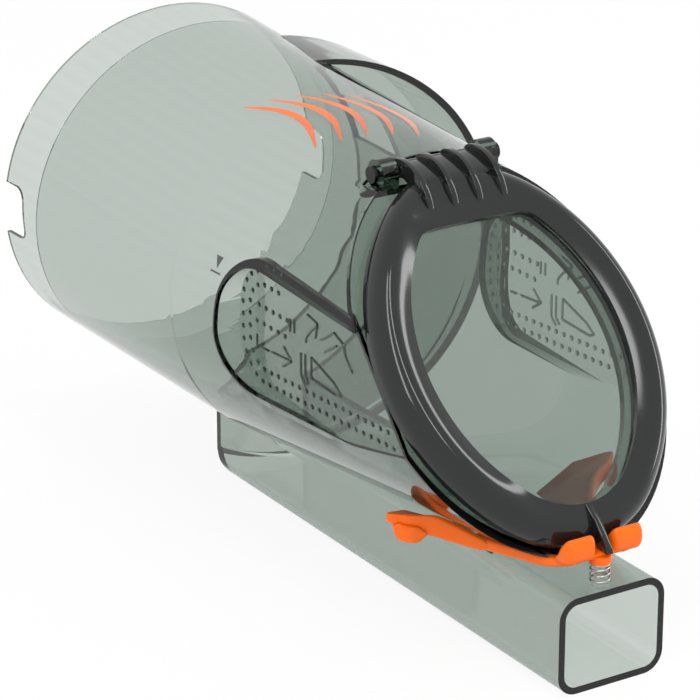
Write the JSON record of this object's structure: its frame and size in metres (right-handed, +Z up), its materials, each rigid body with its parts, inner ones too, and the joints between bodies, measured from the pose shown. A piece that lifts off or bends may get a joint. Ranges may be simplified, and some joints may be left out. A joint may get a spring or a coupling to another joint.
{
  "type": "cyclone dust bin",
  "caption": "Clear smoky hand vacuum dust bin: a tapered bowl over a square inlet duct with a cyclone volute, a hinged oval window door and a sprung orange latch.",
  "frame": {"origin": "centre of the bowl's open end", "axes": "-Y along the bowl towards the door and the duct's mouth, +Z up away from the duct, +X towards the volute"},
  "size_m": [0.1367, 0.2445, 0.1317],
  "materials": {
    "smoky_clear": "gloss",
    "window_clear": "gloss",
    "dark_plastic": "gloss",
    "seal_rubber": "matte",
    "orange_plastic": "satin",
    "steel": "satin"
  },
  "bodies": {
    "bin": {"bowl": "smoky_clear", "inlet_duct": "smoky_clear", "hinge_pin": "steel", "latch_spring": "steel"},
    "door": {"door_frame": "dark_plastic", "door_window": "window_clear", "door_seal": "seal_rubber"},
    "latch": {"latch": "orange_plastic"}
  },
  "joints": [
    {"name": "door_hinge", "type": "hinge", "parent": "bin", "child": "door", "pos_m": [0, -0.15153, 0.04439], "axis": [-1, 0, 0], "range_deg": [0, 100]},
    {"name": "latch_pivot", "type": "hinge", "parent": "bin", "child": "latch", "pos_m": [0, -0.2, -0.0462], "axis": [1, 0, 0], "range_deg": [0, 5], "stiffness_Nm_per_rad": 0.5, "springref_deg": -5.73, "deforming": ["latch_spring"]}
  ]
}
